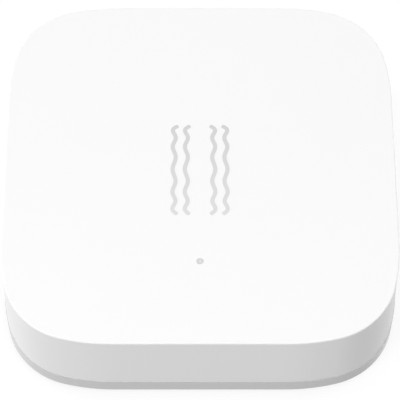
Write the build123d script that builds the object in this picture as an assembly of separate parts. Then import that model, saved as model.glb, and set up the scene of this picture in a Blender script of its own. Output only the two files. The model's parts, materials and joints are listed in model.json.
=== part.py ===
from build123d import *
import os
from math import cos, radians, sin, tan

# A vibration sensor tag. Sizes are in millimetres. The origin is the middle of the adhesive
# pad's underside, +Z is up, and the front, with the status light nearer to it, faces -Y.

# Outside
tag_width = 43.0            # across the flats of the base, both ways
flat_share = 0.431          # straight stretch of each side, as a share of the width
corner_radius = 8.45        # tight arc at the middle of each corner
blend_angle = 14.2          # degrees turned by the wide arc between a straight and a corner
body_height = 10.7          # base underside to top face
band_height = 1.8           # visible height of the base
rim_step = 0.05             # how far the shell's rim stays inside the base
draft = 1.2                 # degrees that the shell's wall leans in
top_edge_radius = 0.16
rim_edge = 0.06             # chamfer of the shell's rim
base_edge = 0.1             # chamfer of the base's bottom edge
overrun = 1.0               # how far cutting solids run past what they cut
bite = 0.3                  # how far an added rib or boss reaches into its wall

# Shell
wall = 1.25
roof_thickness = 1.3
roof_corner = 0.6           # chamfer inside, between wall and roof

# Adhesive pad and its recess
pad_thickness = 0.8
pad_recess = 0.3
recess_inset = 2.0          # from the outline of the base
pad_clearance = 0.2

# Base
floor_thickness = 1.2
lip_clearance = 0.15
lip_thickness = 0.9
lip_height = 1.2            # above the seam
lip_lead = 0.25             # chamfer that leads the shell on
hook_place = 6.0            # from the middle of the side to each snap hook
hook_width = 5.0
hook_thickness = 1.0
hook_height = 2.9           # above the seam
hook_setback = 0.15         # hook's back from the lip's outer face
hook_slot = 0.8             # gap in the lip beside each hook
barb_reach = 0.5
barb_height = 0.8
barb_flat = 0.15            # thickness of the barb's nose
catch_clearance = 0.12      # around the barb in its pocket
pry_width = 8.0
pry_height = 0.8
pry_depth = 1.0
pry_round = 0.4
rest_ring_inset = 1.4       # ring rib under the coin cell, from the cell's rim
rest_ring_thickness = 0.9
rest_ring_height = 0.7
web_count = 8               # webs from the ring towards the lip
web_length = 3.4
web_thickness = 0.8
web_step = 360.0 / web_count

# Coin cell
cell_diameter = 20.0
cell_height_share = 0.5614  # of the height left for the cell and the parts above the board
cell_gap = 0.2              # over the ring rib
cell_shift = -2.0           # along Y
can_wall = 0.25
can_edge = 0.4              # chamfer of the can, both ends
crimp_width = 0.75          # rolled edge seen around the cap
cap_proud = 0.25            # how far the cap stands over the rolled edge
gasket_width = 0.3
cell_play = 0.02            # between the cell's own pieces
cap_edge = 0.15

# Circuit board
contact_space = 0.6         # between the cell's cap and the board
board_thickness = 1.0
board_inset = 3.3           # from the outline of the base
stake_place_share = 0.703   # of the board's half width, both ways
stake_radius = 1.4          # post above the board
pin_radius = 0.75
pin_clearance = 0.08
stake_head_radius = 1.35
stake_head_height = 0.6
stake_head_edge = 0.3       # chamfer of the formed head
rib_place = 7.4             # from the middle of each side to each board rib
rib_thickness = 0.9
rib_cover = 0.9             # how far a rib covers the board's edge
rib_clearance = 0.15

# Status light
light_place_share = -0.535  # of the tag's half width, along Y
pinhole_radius = 0.36
pinhole_clearance = 0.03    # around the pipe's tip
pipe_sink = 0.03            # tip below the top face
pipe_collar_radius = 1.25
pipe_collar_height = 0.7
pipe_stem_radius = 0.85
pipe_boss_thickness = 0.7
pipe_boss_height = 1.2
pipe_clearance = 0.05
led_length = 1.6
led_width = 0.8
led_base_height = 0.25
led_lens_height = 0.35
led_lens_share = 0.7        # of the base, each way
led_lens_draft = 12.0       # degrees
led_gap = 0.3               # between lens and light pipe

# Reset button, in the rear wall
button_width = 8.0
button_height = 2.4
button_gap = 0.15           # around the button in its slot
button_sink = 0.08          # face below the wall's surface
button_edge = 0.15          # chamfer of the button's face
flange_reach = 0.5          # past the button, all round
flange_thickness = 0.5
flange_gap = 0.05           # to the wall's inner face
flange_relief = 0.5         # around the flange, cut from the base's lip
plunger_width = 2.6
plunger_height = 1.3
button_travel = 0.3

# Push switch, under the board's rear edge
switch_width = 4.7
switch_depth = 3.0
switch_height = 1.7
switch_setback = 0.1        # front face behind the board's edge
switch_sheet = 0.15         # cover's sheet
switch_play = 0.03          # sheet to body
switch_foot = 0.7
switch_bend = 0.25
stem_width = 2.0
stem_height = 1.0
stem_clearance = 0.08
stem_reach = 0.9            # out of the body, at rest
stem_hold = 1.0             # inside the body
stem_ear = 0.25             # shoulder that keeps the stem in
stem_ear_length = 0.4

# Battery holder
holder_clearance = 0.15     # around the cell
holder_wall = 1.05
holder_drop = 2.8           # wall's reach below the board
holder_deck = 0.5           # plate against the board
holder_deck_reach = 3.6     # from the cell's rim inwards
holder_mouth = 100.0        # degrees left open, where the cell slides out
tab_span = 14.0             # degrees of each catch under the cell
tab_reach = 0.7
tab_height = 0.45
tab_gap = 0.08              # under the cell
tab_steps = (-0.5, 1.5, 2.5, 4.5)   # turns in web steps, so that no catch meets a web of the base
peg_radius = 0.5
peg_clearance = 0.05
peg_sink = 0.1              # peg's end below the board's top
peg_turn = 45.0

# Battery contacts
contact_sheet = 0.2
contact_bend = 0.35
contact_play = 0.03
plus_width = 4.0
plus_foot = 2.0
plus_flare = 0.5
plus_window_side = 0.4      # window in the holder's wall, past the contact
minus_width = 2.4
minus_inset = 1.2           # ends from the deck's edge
minus_seat = 3.0            # stretch soldered to the board
minus_curl = 1.2
minus_sheet = 0.15
minus_bend = 0.6
minus_lift = 0.2            # rise of the curled end

# Board parts: length, width, height
radio_size = (6.0, 6.0, 0.85)
motion_size = (3.0, 2.5, 1.0)
memory_size = (4.9, 3.9, 1.4)
crystal_size = (3.2, 2.5, 0.75)
capacitor_size = (1.6, 0.8, 0.8)
resistor_size = (1.0, 0.5, 0.35)
chip_edge = 0.12
lead_count = 4              # on each side of the memory chip
lead_width = 0.42
lead_sheet = 0.2
lead_reach = 0.9
lead_pitch = 1.27
lead_stand = 0.1            # body above the board

# Places on the board, as shares of its half width
radio_place_shares = (0.30, 0.10)
motion_place_shares = (-0.36, 0.12)
memory_place_shares = (0.32, 0.56)
crystal_place_shares = (0.66, -0.06)
capacitor_place_shares = (
    (0.04, 0.10), (0.04, 0.22), (0.30, -0.20), (0.44, -0.20),
    (-0.36, -0.06), (-0.36, 0.28), (0.66, 0.14), (-0.10, 0.62),
)
resistor_place_shares = (
    (-0.14, -0.52), (-0.14, -0.60), (0.58, -0.20), (0.66, -0.20),
    (-0.52, 0.02), (-0.52, 0.22), (-0.30, 0.62), (-0.30, 0.70),
)

# Antenna trace and test pads, on the underside
copper = 0.06
trace_width = 0.5
trace_pitch = 1.6
trace_turns = 5
trace_depth_share = 0.492   # of the room between the holder and the trace's outer side
trace_edge = 0.9            # from the board's edge
pad_width = 1.2
pad_pitch = 1.8
pad_count = 5
pad_edge = 1.8              # from the board's edge

# Places that follow from the sizes
half_width = tag_width / 2
lip_inset = rim_step + wall + lip_clearance
board_half = half_width - board_inset
light_place = light_place_share * half_width
pipe_tip_radius = pinhole_radius - pinhole_clearance
cell_radius = cell_diameter / 2
rest_ring_radius = cell_radius - rest_ring_inset
holder_inner = cell_radius + holder_clearance
holder_outer = holder_inner + holder_wall
holder_window_radius = cell_radius - holder_deck_reach
minus_length = 2 * (holder_window_radius - minus_inset)
trace_depth = trace_depth_share * (board_half - trace_edge - holder_outer)
switch_front = board_half - switch_setback
stem_tip = switch_front + stem_reach

# Levels, from the pad's underside up
base_bottom = pad_thickness - pad_recess
seam = base_bottom + band_height
top = base_bottom + body_height
roof_under = top - roof_thickness
floor_top = base_bottom + floor_thickness
ring_top = floor_top + rest_ring_height
cell_bottom = ring_top + cell_gap
stack_height = roof_under - cell_bottom - contact_space - board_thickness
cell_thickness = cell_height_share * stack_height
cell_top = cell_bottom + cell_thickness
board_bottom = cell_top + contact_space
board_top = board_bottom + board_thickness
switch_bottom = board_bottom - switch_height
button_level = board_bottom - switch_height / 2


def lean(level):
    # How far the drafted wall has leant in at a level above the seam
    return (level - seam) * tan(radians(draft))


def inner_face(level):
    # Distance from the middle to the shell wall's inner face, on a straight side
    return half_width - rim_step - wall - lean(level)


def outline(inset):
    # The tag's plan: straights, wide arcs and corner arcs, each tangent to the next
    flat = flat_share * half_width
    turn = radians(blend_angle)
    skew = cos(turn) - sin(turn)
    blend_radius = (half_width - flat - corner_radius * skew) / (1 - skew)
    corner_center = flat + (blend_radius - corner_radius) * sin(turn)
    blend_center = half_width - blend_radius
    corner_angle = 90 - 2 * blend_angle
    quarter = [
        Line((half_width - inset, -flat), (half_width - inset, flat)),
        CenterArc((blend_center, flat), blend_radius - inset, 0, blend_angle),
        CenterArc((corner_center, corner_center), corner_radius - inset, blend_angle, corner_angle),
        CenterArc((flat, blend_center), blend_radius - inset, 90 - blend_angle, blend_angle),
    ]
    edges = [Rot(0, 0, quarter_turn) * edge for quarter_turn in (0, 90, 180, 270) for edge in quarter]
    return Face(Wire(edges))


def slab(inset, bottom, height):
    # A straight-sided block of the tag's plan
    return Pos(0, 0, bottom) * extrude(outline(inset), amount=height)


def drafted(inset, bottom, height):
    # A block whose wall leans in by the draft, with its inset stated at the seam
    return Pos(0, 0, bottom) * extrude(outline(inset + lean(bottom)), amount=height, taper=draft)


def pin(radius, bottom, height):
    return Pos(0, 0, bottom) * Cylinder(radius, height, align=(Align.CENTER, Align.CENTER, Align.MIN))


def block(x_size, y_size, z_size, bottom=0):
    # A block centred in plan that stands on a level
    return Pos(0, 0, bottom) * Box(x_size, y_size, z_size, align=(Align.CENTER, Align.CENTER, Align.MIN))


def top_edges(solid):
    return solid.faces().sort_by(Axis.Z)[-1].edges()


def bottom_edges(solid):
    return solid.faces().sort_by(Axis.Z)[0].edges()


def turned(points):
    # A ring or disc from (radius, level) points, turned about Z
    profile = Plane.XZ * make_face(Polyline(*points, close=True))
    return revolve(profile, axis=Axis.Z)


def rib_from_side(points, width):
    # A rib from (distance from the middle, level) points, centred on Y
    profile = Plane.XZ * make_face(Polyline(*points, close=True))
    return extrude(profile, amount=width / 2, both=True)


def bent_strip(points, bend, sheet, width):
    # Sheet metal bent along (x, level) points
    path = FilletPolyline(*[(x, 0, level) for x, level in points], radius=bend)
    section = Plane(origin=path @ 0, x_dir=(0, 1, 0), z_dir=path % 0) * Rectangle(width, sheet)
    return sweep(section, path=path)


def rear_pill(width, height, start, length):
    # A round-ended bar that runs along Y at the button's level
    face = Plane(origin=(0, start, button_level), x_dir=(1, 0, 0), z_dir=(0, 1, 0))
    return extrude(face * SlotOverall(width, height), amount=length)


def stake_places():
    stake_place = stake_place_share * board_half
    return [(x, y) for x in (-stake_place, stake_place) for y in (-stake_place, stake_place)]


def hook_turns():
    # Each hook is made on the +X side, shifted along Y, and turned to its side
    return [(turn, y) for turn in (0, 180) for y in (-hook_place, hook_place)]


def hook_back():
    # The hook's outer face, away from the barb
    return half_width - lip_inset - hook_setback


def barb_bottom():
    return seam + hook_height - barb_height


def catch_pocket():
    # The room for a barb in the shell's inner wall
    depth = barb_reach + catch_clearance
    width = hook_width + 4 * catch_clearance
    height = barb_height + 2 * catch_clearance
    pocket = Box(depth, width, height, align=(Align.MIN, Align.CENTER, Align.MIN))
    return Pos(hook_back(), 0, barb_bottom() - catch_clearance) * pocket


def board_rib():
    # A rib down the wall that seats the board's edge and centres it
    seat = board_half - rib_cover
    edge = board_half + rib_clearance
    back = inner_face(board_bottom) + bite
    points = [
        (seat, roof_under + bite),
        (seat, board_top),
        (edge, board_top),
        (edge, board_bottom),
        (back, board_bottom),
        (back, roof_under + bite),
    ]
    return rib_from_side(points, rib_thickness)


def heat_stake():
    # A post to the board's top, its pin through the board, and the formed head below
    post = pin(stake_radius, board_top, roof_under + bite - board_top)
    shank = pin(pin_radius, board_bottom - bite, board_thickness + bite + bite)
    head = pin(stake_head_radius, board_bottom - stake_head_height, stake_head_height)
    head = chamfer(bottom_edges(head), stake_head_edge)
    return post + shank + head


def make_top_shell():
    shell = drafted(rim_step, seam, top - seam)
    shell = fillet(top_edges(shell), top_edge_radius)
    shell = chamfer(bottom_edges(shell), rim_edge)
    cavity = drafted(rim_step + wall, seam - overrun, roof_under - seam + overrun)
    cavity = chamfer(top_edges(cavity), roof_corner)
    shell -= cavity
    for turn, y in hook_turns():
        shell -= Rot(0, 0, turn) * Pos(0, y, 0) * catch_pocket()
    for turn in (0, 90, 180, 270):
        for y in (-rib_place, rib_place):
            shell += Rot(0, 0, turn) * Pos(0, y, 0) * board_rib()
    for x, y in stake_places():
        shell += Pos(x, y, 0) * heat_stake()
    boss_radius = pipe_collar_radius + pipe_clearance + pipe_boss_thickness
    boss = pin(boss_radius, roof_under - pipe_boss_height, pipe_boss_height + bite)
    bore_start = roof_under - pipe_boss_height - overrun
    boss -= pin(pipe_collar_radius + pipe_clearance, bore_start, pipe_boss_height + overrun)
    shell += Pos(0, light_place, 0) * boss
    pinhole = pin(pinhole_radius, roof_under - overrun, roof_thickness + 2 * overrun)
    shell -= Pos(0, light_place, 0) * pinhole
    slot_width = button_width + 2 * button_gap
    slot_height = button_height + 2 * button_gap
    slot_start = inner_face(button_level) - overrun
    shell -= rear_pill(slot_width, slot_height, slot_start, wall + 2 * overrun)
    return shell


def snap_hook():
    # A springy tongue on the lip with an outward barb
    back = hook_back()
    barb = barb_bottom()
    tip = seam + hook_height
    points = [
        (back - hook_thickness, floor_top - bite),
        (back - hook_thickness, tip),
        (back, tip),
        (back + barb_reach, barb + barb_flat),
        (back + barb_reach, barb),
        (back, barb),
        (back, floor_top - bite),
    ]
    return rib_from_side(points, hook_width)


def hook_gap():
    # Frees the hook from the lip on both sides
    depth = 2 * (lip_thickness + hook_setback)
    gap = block(depth, hook_width + 2 * hook_slot, lip_height + overrun, seam)
    return Pos(half_width - lip_inset, 0, 0) * gap


def rest_web(turn):
    start = rest_ring_radius - rest_ring_thickness / 2
    web = block(web_length, web_thickness, rest_ring_height + bite, floor_top - bite)
    return Rot(0, 0, turn) * Pos(start + web_length / 2, 0, 0) * web


def cell_rest():
    # The ring rib and its webs, which stop the cell from rattling against the base
    ring = pin(rest_ring_radius, floor_top - bite, rest_ring_height + bite)
    for index in range(web_count):
        ring += rest_web(web_step * index)
    ring -= pin(rest_ring_radius - rest_ring_thickness, floor_top - overrun, rest_ring_height + 2 * overrun)
    return Pos(0, cell_shift, 0) * ring


def pry_notch():
    # A recess in the rear edge of the base, for a coin or a nail under the shell's rim
    notch = block(pry_width, 2 * pry_depth, pry_height + overrun, seam - pry_height)
    notch = fillet(notch.edges().filter_by(Axis.Z), pry_round)
    return Pos(0, half_width, 0) * notch


def flange_room():
    # The base's lip makes way for the button's flange
    width = button_width + 2 * flange_reach + 2 * flange_relief
    bottom = button_level - button_height / 2 - flange_reach - flange_relief
    room = block(width, 2 * (lip_thickness + lip_clearance), top - bottom, bottom)
    return Pos(0, half_width - lip_inset, 0) * room


def make_base_cover():
    base = slab(0, base_bottom, band_height)
    base = chamfer(bottom_edges(base), base_edge)
    lip = slab(lip_inset, floor_top, seam + lip_height - floor_top)
    base += chamfer(top_edges(lip), lip_lead)
    base -= slab(lip_inset + lip_thickness, floor_top, seam + lip_height + overrun - floor_top)
    base -= slab(recess_inset, base_bottom - overrun, pad_recess + overrun)
    for turn, y in hook_turns():
        base -= Rot(0, 0, turn) * Pos(0, y, 0) * hook_gap()
        base += Rot(0, 0, turn) * Pos(0, y, 0) * snap_hook()
    base -= flange_room()
    base += cell_rest()
    base -= pry_notch()
    return base


def make_adhesive_pad():
    return slab(recess_inset + pad_clearance, 0, pad_thickness)


def make_light_pipe():
    collar = roof_under - pipe_collar_height
    foot = board_top + led_base_height + led_lens_height + led_gap
    tip = top - pipe_sink
    points = [
        (0, foot),
        (pipe_stem_radius, foot),
        (pipe_stem_radius, collar),
        (pipe_collar_radius, collar),
        (pipe_collar_radius, roof_under),
        (pipe_tip_radius, roof_under),
        (pipe_tip_radius, tip),
        (0, tip),
    ]
    return Pos(0, light_place, 0) * turned(points)


def make_status_led():
    led = block(led_length, led_width, led_base_height, board_top)
    lens = Rectangle(led_length * led_lens_share, led_width)
    lens = extrude(lens, amount=led_lens_height, taper=led_lens_draft)
    led += Pos(0, 0, board_top + led_base_height) * lens
    return Pos(0, light_place, 0) * led


def make_reset_button():
    # The cap and its flange follow the drafted wall, and a plunger meets the switch
    start = inner_face(button_level) - flange_gap - flange_thickness
    cap = rear_pill(button_width, button_height, start, half_width - start)
    cap &= drafted(rim_step + button_sink, seam, top - seam)
    cap = chamfer(cap.faces().sort_by(Axis.Y)[-1].edges(), button_edge)
    flange_width = button_width + 2 * flange_reach
    flange_height = button_height + 2 * flange_reach
    flange = rear_pill(flange_width, flange_height, start, half_width - start)
    flange &= drafted(rim_step + wall + flange_gap, seam, top - seam)
    length = start + bite - stem_tip
    plunger = Box(plunger_width, length, plunger_height, align=(Align.CENTER, Align.MIN, Align.CENTER))
    return cap + flange + Pos(0, stem_tip, button_level) * plunger


def switch_bar(width, height, start, length):
    # A bar along Y at the button's level
    bar = Box(width, length, height, align=(Align.CENTER, Align.MIN, Align.CENTER))
    return Pos(0, start, button_level) * bar


def make_switch_stem():
    inner = switch_front - stem_hold
    stem = switch_bar(stem_width, stem_height, inner, stem_tip - inner)
    return stem + switch_bar(stem_width + 2 * stem_ear, stem_height, inner, stem_ear_length)


def make_switch_body():
    skin = switch_sheet + switch_play
    body = block(switch_width - 2 * skin, switch_depth, switch_height - skin, switch_bottom + skin)
    body = fillet(bottom_edges(body).filter_by(Axis.Y), switch_bend)
    body = Pos(0, switch_front - switch_depth / 2, 0) * body
    bore_width = stem_width + 2 * stem_clearance
    bore_height = stem_height + 2 * stem_clearance
    body -= switch_bar(bore_width, bore_height, switch_front - stem_hold, stem_hold + overrun)
    pocket_start = switch_front - stem_hold - button_travel - stem_clearance
    pocket_end = switch_front - stem_hold + stem_ear_length + stem_clearance
    pocket_width = bore_width + 2 * stem_ear
    body -= switch_bar(pocket_width, bore_height, pocket_start, pocket_end - pocket_start)
    return body


def make_switch_cover():
    # A bent sheet over the body, with a soldered foot on each side
    side = switch_width / 2 - switch_sheet / 2
    low = switch_bottom + switch_sheet / 2
    high = board_bottom - switch_sheet / 2
    points = [
        (-side - switch_foot, high),
        (-side, high),
        (-side, low),
        (side, low),
        (side, high),
        (side + switch_foot, high),
    ]
    cover = bent_strip(points, switch_bend, switch_sheet, switch_depth)
    return Pos(0, switch_front - switch_depth / 2, 0) * cover


def make_circuit_board():
    board = slab(board_inset, board_bottom, board_thickness)
    start = board_bottom - overrun
    depth = board_thickness + 2 * overrun
    for x, y in stake_places():
        board -= Pos(x, y, 0) * pin(pin_radius + pin_clearance, start, depth)
    for place in peg_places():
        board -= place * pin(peg_radius + peg_clearance, start, depth)
    return board


def chip(size, shares, level=None):
    # A board part with softened top edges, at a share of the board's half width
    length, width, height = size
    body = block(length, width, height, board_top if level is None else level)
    body = fillet(top_edges(body), chip_edge)
    return board_place(shares) * body


def board_place(shares):
    return Pos(board_half * shares[0], board_half * shares[1], 0)


def make_radio_chip():
    return chip(radio_size, radio_place_shares)


def make_motion_chip():
    return chip(motion_size, motion_place_shares)


def make_crystal():
    return chip(crystal_size, crystal_place_shares)


def make_memory_chip():
    length, width, height = memory_size
    return chip((length, width, height - lead_stand), memory_place_shares, board_top + lead_stand)


def make_memory_leads():
    # Gull-wing leads along both long sides of the memory chip
    side = memory_size[1] / 2
    root = board_top + (lead_stand + memory_size[2]) / 2
    foot = board_top + lead_sheet
    knee = side + lead_reach / 2
    points = [
        (side, root),
        (knee, root),
        (knee, foot),
        (side + lead_reach, foot),
        (side + lead_reach, board_top),
        (knee - lead_sheet, board_top),
        (knee - lead_sheet, root - lead_sheet),
        (side, root - lead_sheet),
    ]
    leads = []
    for turn in (90, 270):
        for index in range(lead_count):
            across = (index - (lead_count - 1) / 2) * lead_pitch
            lead = Pos(0, across, 0) * rib_from_side(points, lead_width)
            leads.append(board_place(memory_place_shares) * Rot(0, 0, turn) * lead)
    return Compound(leads)


def row_of(size, place_shares):
    return Compound([board_place(shares) * block(*size, board_top) for shares in place_shares])


def make_capacitors():
    return row_of(capacitor_size, capacitor_place_shares)


def make_resistors():
    return row_of(resistor_size, resistor_place_shares)


def make_antenna_trace():
    # A meander near the board's right edge, with its feed leg at the rear end
    level = board_bottom - copper
    outer = board_half - trace_edge - trace_width / 2
    inner = outer - trace_depth
    legs = 2 * trace_turns
    first = -(legs - 1) * trace_pitch / 2
    trace = None
    for index in range(legs):
        y = first + index * trace_pitch
        leg = Pos((outer + inner) / 2, y, 0) * block(trace_depth + trace_width, trace_width, copper, level)
        trace = leg if trace is None else trace + leg
        if index < legs - 1:
            x = outer if index % 2 else inner
            link = block(trace_width, trace_pitch + trace_width, copper, level)
            trace += Pos(x, y + trace_pitch / 2, 0) * link
    return trace


def make_test_pads():
    level = board_bottom - copper
    pads = []
    for index in range(pad_count):
        y = (index - (pad_count - 1) / 2) * pad_pitch
        pads.append(Pos(pad_edge - board_half, y, 0) * block(pad_width, pad_width, copper, level))
    return Compound(pads)


def peg_places():
    radius = (holder_inner + holder_outer) / 2
    turns = (peg_turn, 180 - peg_turn)
    return [Pos(0, cell_shift, 0) * Rot(0, 0, turn) * Pos(radius, 0, 0) for turn in turns]


def holder_sector(turn, span, bottom, height):
    # A wedge from the middle outwards, past the holder
    reach = 2 * holder_outer
    half = radians(span / 2)
    points = [(0, 0), (reach * cos(half), -reach * sin(half)), (reach * cos(half), reach * sin(half))]
    wedge = extrude(make_face(Polyline(*points, close=True)), amount=height)
    return Rot(0, 0, turn) * Pos(0, 0, bottom) * wedge


def make_battery_holder():
    # A deck against the board and a wall round the cell, open towards the front, with catches
    # that reach under the cell's edge
    low = board_bottom - holder_drop
    deck = board_bottom - holder_deck
    tab_bottom = cell_bottom - tab_gap - tab_height
    nose = cell_radius - tab_reach
    points = [
        (holder_window_radius, board_bottom),
        (holder_outer, board_bottom),
        (holder_outer, tab_bottom),
        (nose + tab_height, tab_bottom),
        (nose, cell_bottom - tab_gap),
        (holder_inner, cell_bottom - tab_gap),
        (holder_inner, deck),
        (holder_window_radius, deck),
    ]
    holder = turned(points)
    start = tab_bottom - overrun
    depth = board_bottom - tab_bottom + 2 * overrun
    between = pin(holder_outer + overrun, start, low - start)
    for step in tab_steps:
        between -= holder_sector(step * web_step, tab_span, start - overrun, depth)
    holder -= between
    holder -= holder_sector(-90, holder_mouth, start, depth)
    window_length = holder_outer - cell_radius + plus_window_side + overrun
    window_width = plus_width + 2 * plus_window_side
    window = block(window_length, window_width, depth, start)
    window_middle = cell_radius - plus_window_side + window_length / 2
    holder -= Rot(0, 0, 90) * Pos(window_middle, 0, 0) * window
    holder = Pos(0, cell_shift, 0) * holder
    for place in peg_places():
        holder += place * pin(peg_radius, board_bottom - bite, board_thickness + bite - peg_sink)
    return holder


def make_positive_contact():
    # A sprung leg against the can's side, with a soldered foot and a flared end
    leg = cell_radius + contact_play + contact_sheet / 2
    high = board_bottom - contact_sheet / 2
    flare = cell_bottom + plus_flare
    points = [(leg + plus_foot, high), (leg, high), (leg, flare), (leg + plus_flare, cell_bottom)]
    strip = bent_strip(points, contact_bend, contact_sheet, plus_width)
    return Pos(0, cell_shift, 0) * Rot(0, 0, 90) * strip


def make_negative_contact():
    # A leaf soldered to the board, whose free end presses on the cell's cap
    start = -minus_length / 2
    seat = board_bottom - minus_sheet / 2
    touch = cell_top + minus_sheet / 2
    free_end = start + minus_length
    points = [
        (start, seat),
        (start + minus_seat, seat),
        (free_end - minus_curl, touch),
        (free_end, touch + minus_lift),
    ]
    leaf = bent_strip(points, minus_bend, minus_sheet, minus_width)
    return Pos(0, cell_shift, 0) * leaf


def make_cell_can():
    # The positive cup, with its edge rolled over the gasket
    height = cell_thickness - cap_proud
    can = pin(cell_radius, cell_bottom, height)
    can = chamfer(bottom_edges(can) + top_edges(can), can_edge)
    can -= pin(cell_radius - can_wall, cell_bottom + can_wall, height - 2 * can_wall)
    can -= pin(cell_radius - crimp_width, cell_bottom + can_wall, height)
    return Pos(0, cell_shift, 0) * can


def make_cell_gasket():
    can_top = cell_top - cap_proud
    outer = cell_radius - can_wall - cell_play
    throat = cell_radius - crimp_width - cell_play
    foot = cell_bottom + can_wall
    step = can_top - can_wall
    points = [
        (throat - gasket_width, foot),
        (outer, foot),
        (outer, step),
        (throat, step),
        (throat, can_top),
        (throat - gasket_width, can_top),
    ]
    return Pos(0, cell_shift, 0) * turned(points)


def make_cell_cap():
    # The negative cup, turned down inside the gasket
    rim = cell_radius - crimp_width - 2 * cell_play - gasket_width
    foot = cell_bottom + can_wall + cell_play
    points = [
        (0, cell_top),
        (rim, cell_top),
        (rim, foot),
        (rim - can_wall, foot),
        (rim - can_wall, cell_top - can_wall),
        (0, cell_top - can_wall),
    ]
    cap = turned(points)
    cap = chamfer(top_edges(cap), cap_edge)
    return Pos(0, cell_shift, 0) * cap


def make_cell_core():
    # The active discs, packed between can and cap
    radius = cell_radius - crimp_width - gasket_width - can_wall - 3 * cell_play
    core = pin(radius, cell_bottom + can_wall, cell_thickness - 2 * can_wall)
    return Pos(0, cell_shift, 0) * core


makers = {
    "top_shell": make_top_shell,
    "base_cover": make_base_cover,
    "adhesive_pad": make_adhesive_pad,
    "light_pipe": make_light_pipe,
    "status_led": make_status_led,
    "reset_button": make_reset_button,
    "switch_stem": make_switch_stem,
    "switch_body": make_switch_body,
    "switch_cover": make_switch_cover,
    "circuit_board": make_circuit_board,
    "radio_chip": make_radio_chip,
    "motion_chip": make_motion_chip,
    "memory_chip": make_memory_chip,
    "memory_leads": make_memory_leads,
    "crystal": make_crystal,
    "capacitors": make_capacitors,
    "resistors": make_resistors,
    "antenna_trace": make_antenna_trace,
    "test_pads": make_test_pads,
    "battery_holder": make_battery_holder,
    "positive_contact": make_positive_contact,
    "negative_contact": make_negative_contact,
    "cell_can": make_cell_can,
    "cell_gasket": make_cell_gasket,
    "cell_cap": make_cell_cap,
    "cell_core": make_cell_core,
}

os.makedirs("parts", exist_ok=True)
for name, make in makers.items():
    export_step(make(), f"parts/{name}.step")
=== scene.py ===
import json
import math

import bpy
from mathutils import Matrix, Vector


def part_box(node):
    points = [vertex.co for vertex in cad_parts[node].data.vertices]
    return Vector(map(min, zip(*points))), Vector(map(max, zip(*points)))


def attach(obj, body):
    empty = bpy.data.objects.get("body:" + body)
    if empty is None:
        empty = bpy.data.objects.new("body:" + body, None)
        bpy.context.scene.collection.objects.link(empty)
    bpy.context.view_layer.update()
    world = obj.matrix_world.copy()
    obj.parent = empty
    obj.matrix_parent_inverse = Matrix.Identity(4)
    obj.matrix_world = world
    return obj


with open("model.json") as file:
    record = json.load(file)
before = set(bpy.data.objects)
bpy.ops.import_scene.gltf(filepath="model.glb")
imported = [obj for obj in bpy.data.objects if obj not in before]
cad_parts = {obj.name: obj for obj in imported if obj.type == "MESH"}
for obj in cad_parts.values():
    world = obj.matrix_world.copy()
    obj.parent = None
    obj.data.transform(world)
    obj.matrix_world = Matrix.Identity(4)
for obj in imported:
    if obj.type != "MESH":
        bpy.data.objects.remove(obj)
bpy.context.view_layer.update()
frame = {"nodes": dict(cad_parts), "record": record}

# Vibration sensor tag, in metres. Front is -Y, the adhesive pad stands on z = 0.
mm = 0.001
nodes = frame["nodes"]
print("frame loaded:", len(nodes), "nodes")


def deselectAll():
    if bpy.context.object and bpy.context.object.mode != "OBJECT":
        bpy.ops.object.mode_set(mode="OBJECT")
    bpy.ops.object.select_all(action="DESELECT")


def makeActive(piece):
    deselectAll()
    piece.select_set(True)
    bpy.context.view_layer.objects.active = piece


def finishPiece(piece, name, material, body):
    # origin to the frame's zero, transforms into the mesh, then onto its body
    makeActive(piece)
    bpy.ops.object.transform_apply(location=True, rotation=True, scale=True)
    piece.name = name
    piece.data.name = name
    piece.data.materials.clear()
    piece.data.materials.append(material)
    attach(piece, body)
    return piece


def middleOf(nodeName):
    low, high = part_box(nodeName)
    return (low + high) / 2


def thicken(piece, thickness):
    # a sheet grows upwards from where it lies
    thick = piece.modifiers.new("thick", "SOLIDIFY")
    thick.thickness = thickness
    thick.offset = 1
    bpy.ops.object.modifier_apply(modifier="thick")


# Materials

def startMaterial(name):
    material = bpy.data.materials.new(name)
    material.use_nodes = True
    return material, material.node_tree.nodes, material.node_tree.links


def objectSpace(nodeSet, linkSet, scale=(1, 1, 1), turn=(0, 0, 0), move=(0, 0, 0)):
    coords = nodeSet.new("ShaderNodeTexCoord")
    mapping = nodeSet.new("ShaderNodeMapping")
    mapping.inputs["Scale"].default_value = scale
    mapping.inputs["Rotation"].default_value = turn
    mapping.inputs["Location"].default_value = move
    linkSet.new(coords.outputs["Object"], mapping.inputs["Vector"])
    return mapping.outputs["Vector"]


def noiseField(nodeSet, linkSet, vector, size, detail=3.0, roughness=0.55):
    noise = nodeSet.new("ShaderNodeTexNoise")
    noise.inputs["Scale"].default_value = 1 / size
    noise.inputs["Detail"].default_value = detail
    noise.inputs["Roughness"].default_value = roughness
    linkSet.new(vector, noise.inputs["Vector"])
    return noise.outputs["Fac"]


def colourRamp(nodeSet, linkSet, field, stops):
    ramp = nodeSet.new("ShaderNodeValToRGB")
    while len(ramp.color_ramp.elements) < len(stops):
        ramp.color_ramp.elements.new(0.5)
    for element, (place, colour) in zip(ramp.color_ramp.elements, stops):
        element.position = place
        element.color = (*colour, 1)
    linkSet.new(field, ramp.inputs["Fac"])
    return ramp.outputs["Color"]


def spread(nodeSet, linkSet, field, low, high, start=0.0, end=1.0):
    # what runs from start to end in the field runs from low to high after it
    remap = nodeSet.new("ShaderNodeMapRange")
    remap.inputs["From Min"].default_value = start
    remap.inputs["From Max"].default_value = end
    remap.inputs["To Min"].default_value = low
    remap.inputs["To Max"].default_value = high
    linkSet.new(field, remap.inputs["Value"])
    return remap.outputs["Result"]


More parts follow.
